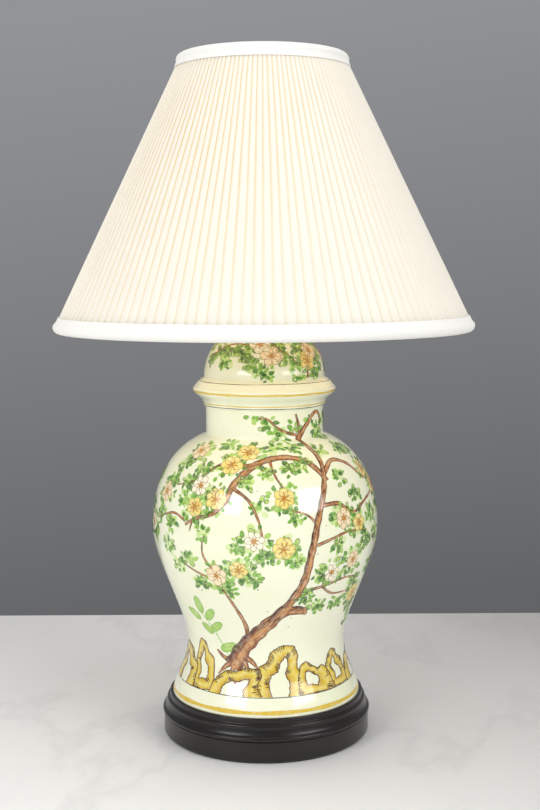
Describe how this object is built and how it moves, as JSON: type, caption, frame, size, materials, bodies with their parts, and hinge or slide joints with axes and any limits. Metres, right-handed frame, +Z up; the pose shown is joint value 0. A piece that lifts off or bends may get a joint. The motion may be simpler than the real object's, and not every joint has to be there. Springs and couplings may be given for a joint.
{
  "type": "table lamp",
  "caption": "Table lamp with a covered, painted ceramic jar on a turned dark wood base, a harp and socket, and a pleated cone shade.",
  "frame": {"origin": "middle of the felt's underside, on the surface the lamp stands on", "axes": "+Z up along the lamp pipe, -Y towards the switch's knob, +X to the right seen from the knob's side"},
  "size_m": [0.4695, 0.4696, 0.776],
  "materials": {
    "green_felt": "pressed felt",
    "dark_wood": "satin lacquered, nearly black espresso",
    "black_plastic": "moulded black",
    "zinc_steel": "zinc plated",
    "brass": "polished",
    "brass_plate": "satin brass plate",
    "socket_brass": "thin spun brass",
    "painted_glaze": "glossy clear glaze over a painted cream ground",
    "liner_board": "plain fibre board",
    "brown_phenolic": "moulded phenolic",
    "bulb_aluminium": "rolled thread",
    "black_glass": "black vitrite",
    "stem_glass": "clear",
    "filament_wire": "bare drawn wire",
    "frosted_glass": "inside frosted",
    "white_wire": "white enamelled wire",
    "pleated_cloth": "fine pleated cloth",
    "lining_cloth": "smooth lining cloth",
    "trim_cloth": "folded and rolled cloth edging"
  },
  "bodies": {
    "lamp_base": {"base_felt": "green_felt", "wood_base": "dark_wood", "cord_bushing": "black_plastic", "base_washer": "zinc_steel", "base_lock_washer": "zinc_steel", "base_locknut": "brass", "lamp_pipe": "zinc_steel", "jar_body": "painted_glaze", "jar_lid": "painted_glaze", "vase_cap": "brass", "top_locknut": "brass", "brass_neck": "brass", "harp_saddle": "brass_plate", "socket_cap": "socket_brass", "cap_set_screw": "zinc_steel", "socket_shell": "socket_brass", "socket_liner": "liner_board", "socket_body": "brown_phenolic", "socket_screw_shell": "socket_brass", "socket_contact": "brass", "terminal_screws": "brass"},
    "switch": {"switch_shaft": "brass", "switch_knob": "black_plastic"},
    "bulb": {"bulb_glass": "frosted_glass", "bulb_cap": "bulb_aluminium", "bulb_insulator": "black_glass", "bulb_tip": "bulb_aluminium", "bulb_stem": "stem_glass", "bulb_filament": "filament_wire"},
    "harp": {"harp_bow": "brass_plate", "harp_stud": "brass"},
    "sleeve_left": {"harp_sleeve_left": "brass_plate"},
    "sleeve_right": {"harp_sleeve_right": "brass_plate"},
    "shade": {"shade_spider": "brass_plate", "shade_top_ring": "white_wire", "shade_bottom_ring": "white_wire", "shade_ribs": "white_wire", "shade_fabric": "pleated_cloth", "shade_liner": "lining_cloth", "shade_top_trim": "trim_cloth", "shade_bottom_trim": "trim_cloth"},
    "finial": {"finial": "brass"}
  },
  "joints": [
    {"name": "switch_turn", "type": "hinge", "parent": "lamp_base", "child": "switch", "pos_m": [0, -0.02, 0.52048], "axis": [0, -1, 0], "continuous": true},
    {"name": "bulb_turn", "type": "hinge", "parent": "lamp_base", "child": "bulb", "pos_m": [0, 0, 0.53128], "axis": [0, 0, 1], "range_deg": [0, 1080]},
    {"name": "harp_lift", "type": "slide", "parent": "lamp_base", "child": "harp", "axis": [0, 0, 1], "range_m": [0, 0.018]},
    {"name": "sleeve_left_lift", "type": "slide", "parent": "harp", "child": "sleeve_left", "axis": [0, 0, 1], "range_m": [0, 0.012]},
    {"name": "sleeve_right_lift", "type": "slide", "parent": "harp", "child": "sleeve_right", "axis": [0, 0, 1], "range_m": [0, 0.012]},
    {"name": "shade_turn", "type": "hinge", "parent": "harp", "child": "shade", "pos_m": [0, 0, 0.74548], "axis": [0, 0, 1], "continuous": true},
    {"name": "finial_turn", "type": "hinge", "parent": "harp", "child": "finial", "pos_m": [0, 0, 0.75548], "axis": [0, 0, 1], "range_deg": [0, 720]}
  ]
}
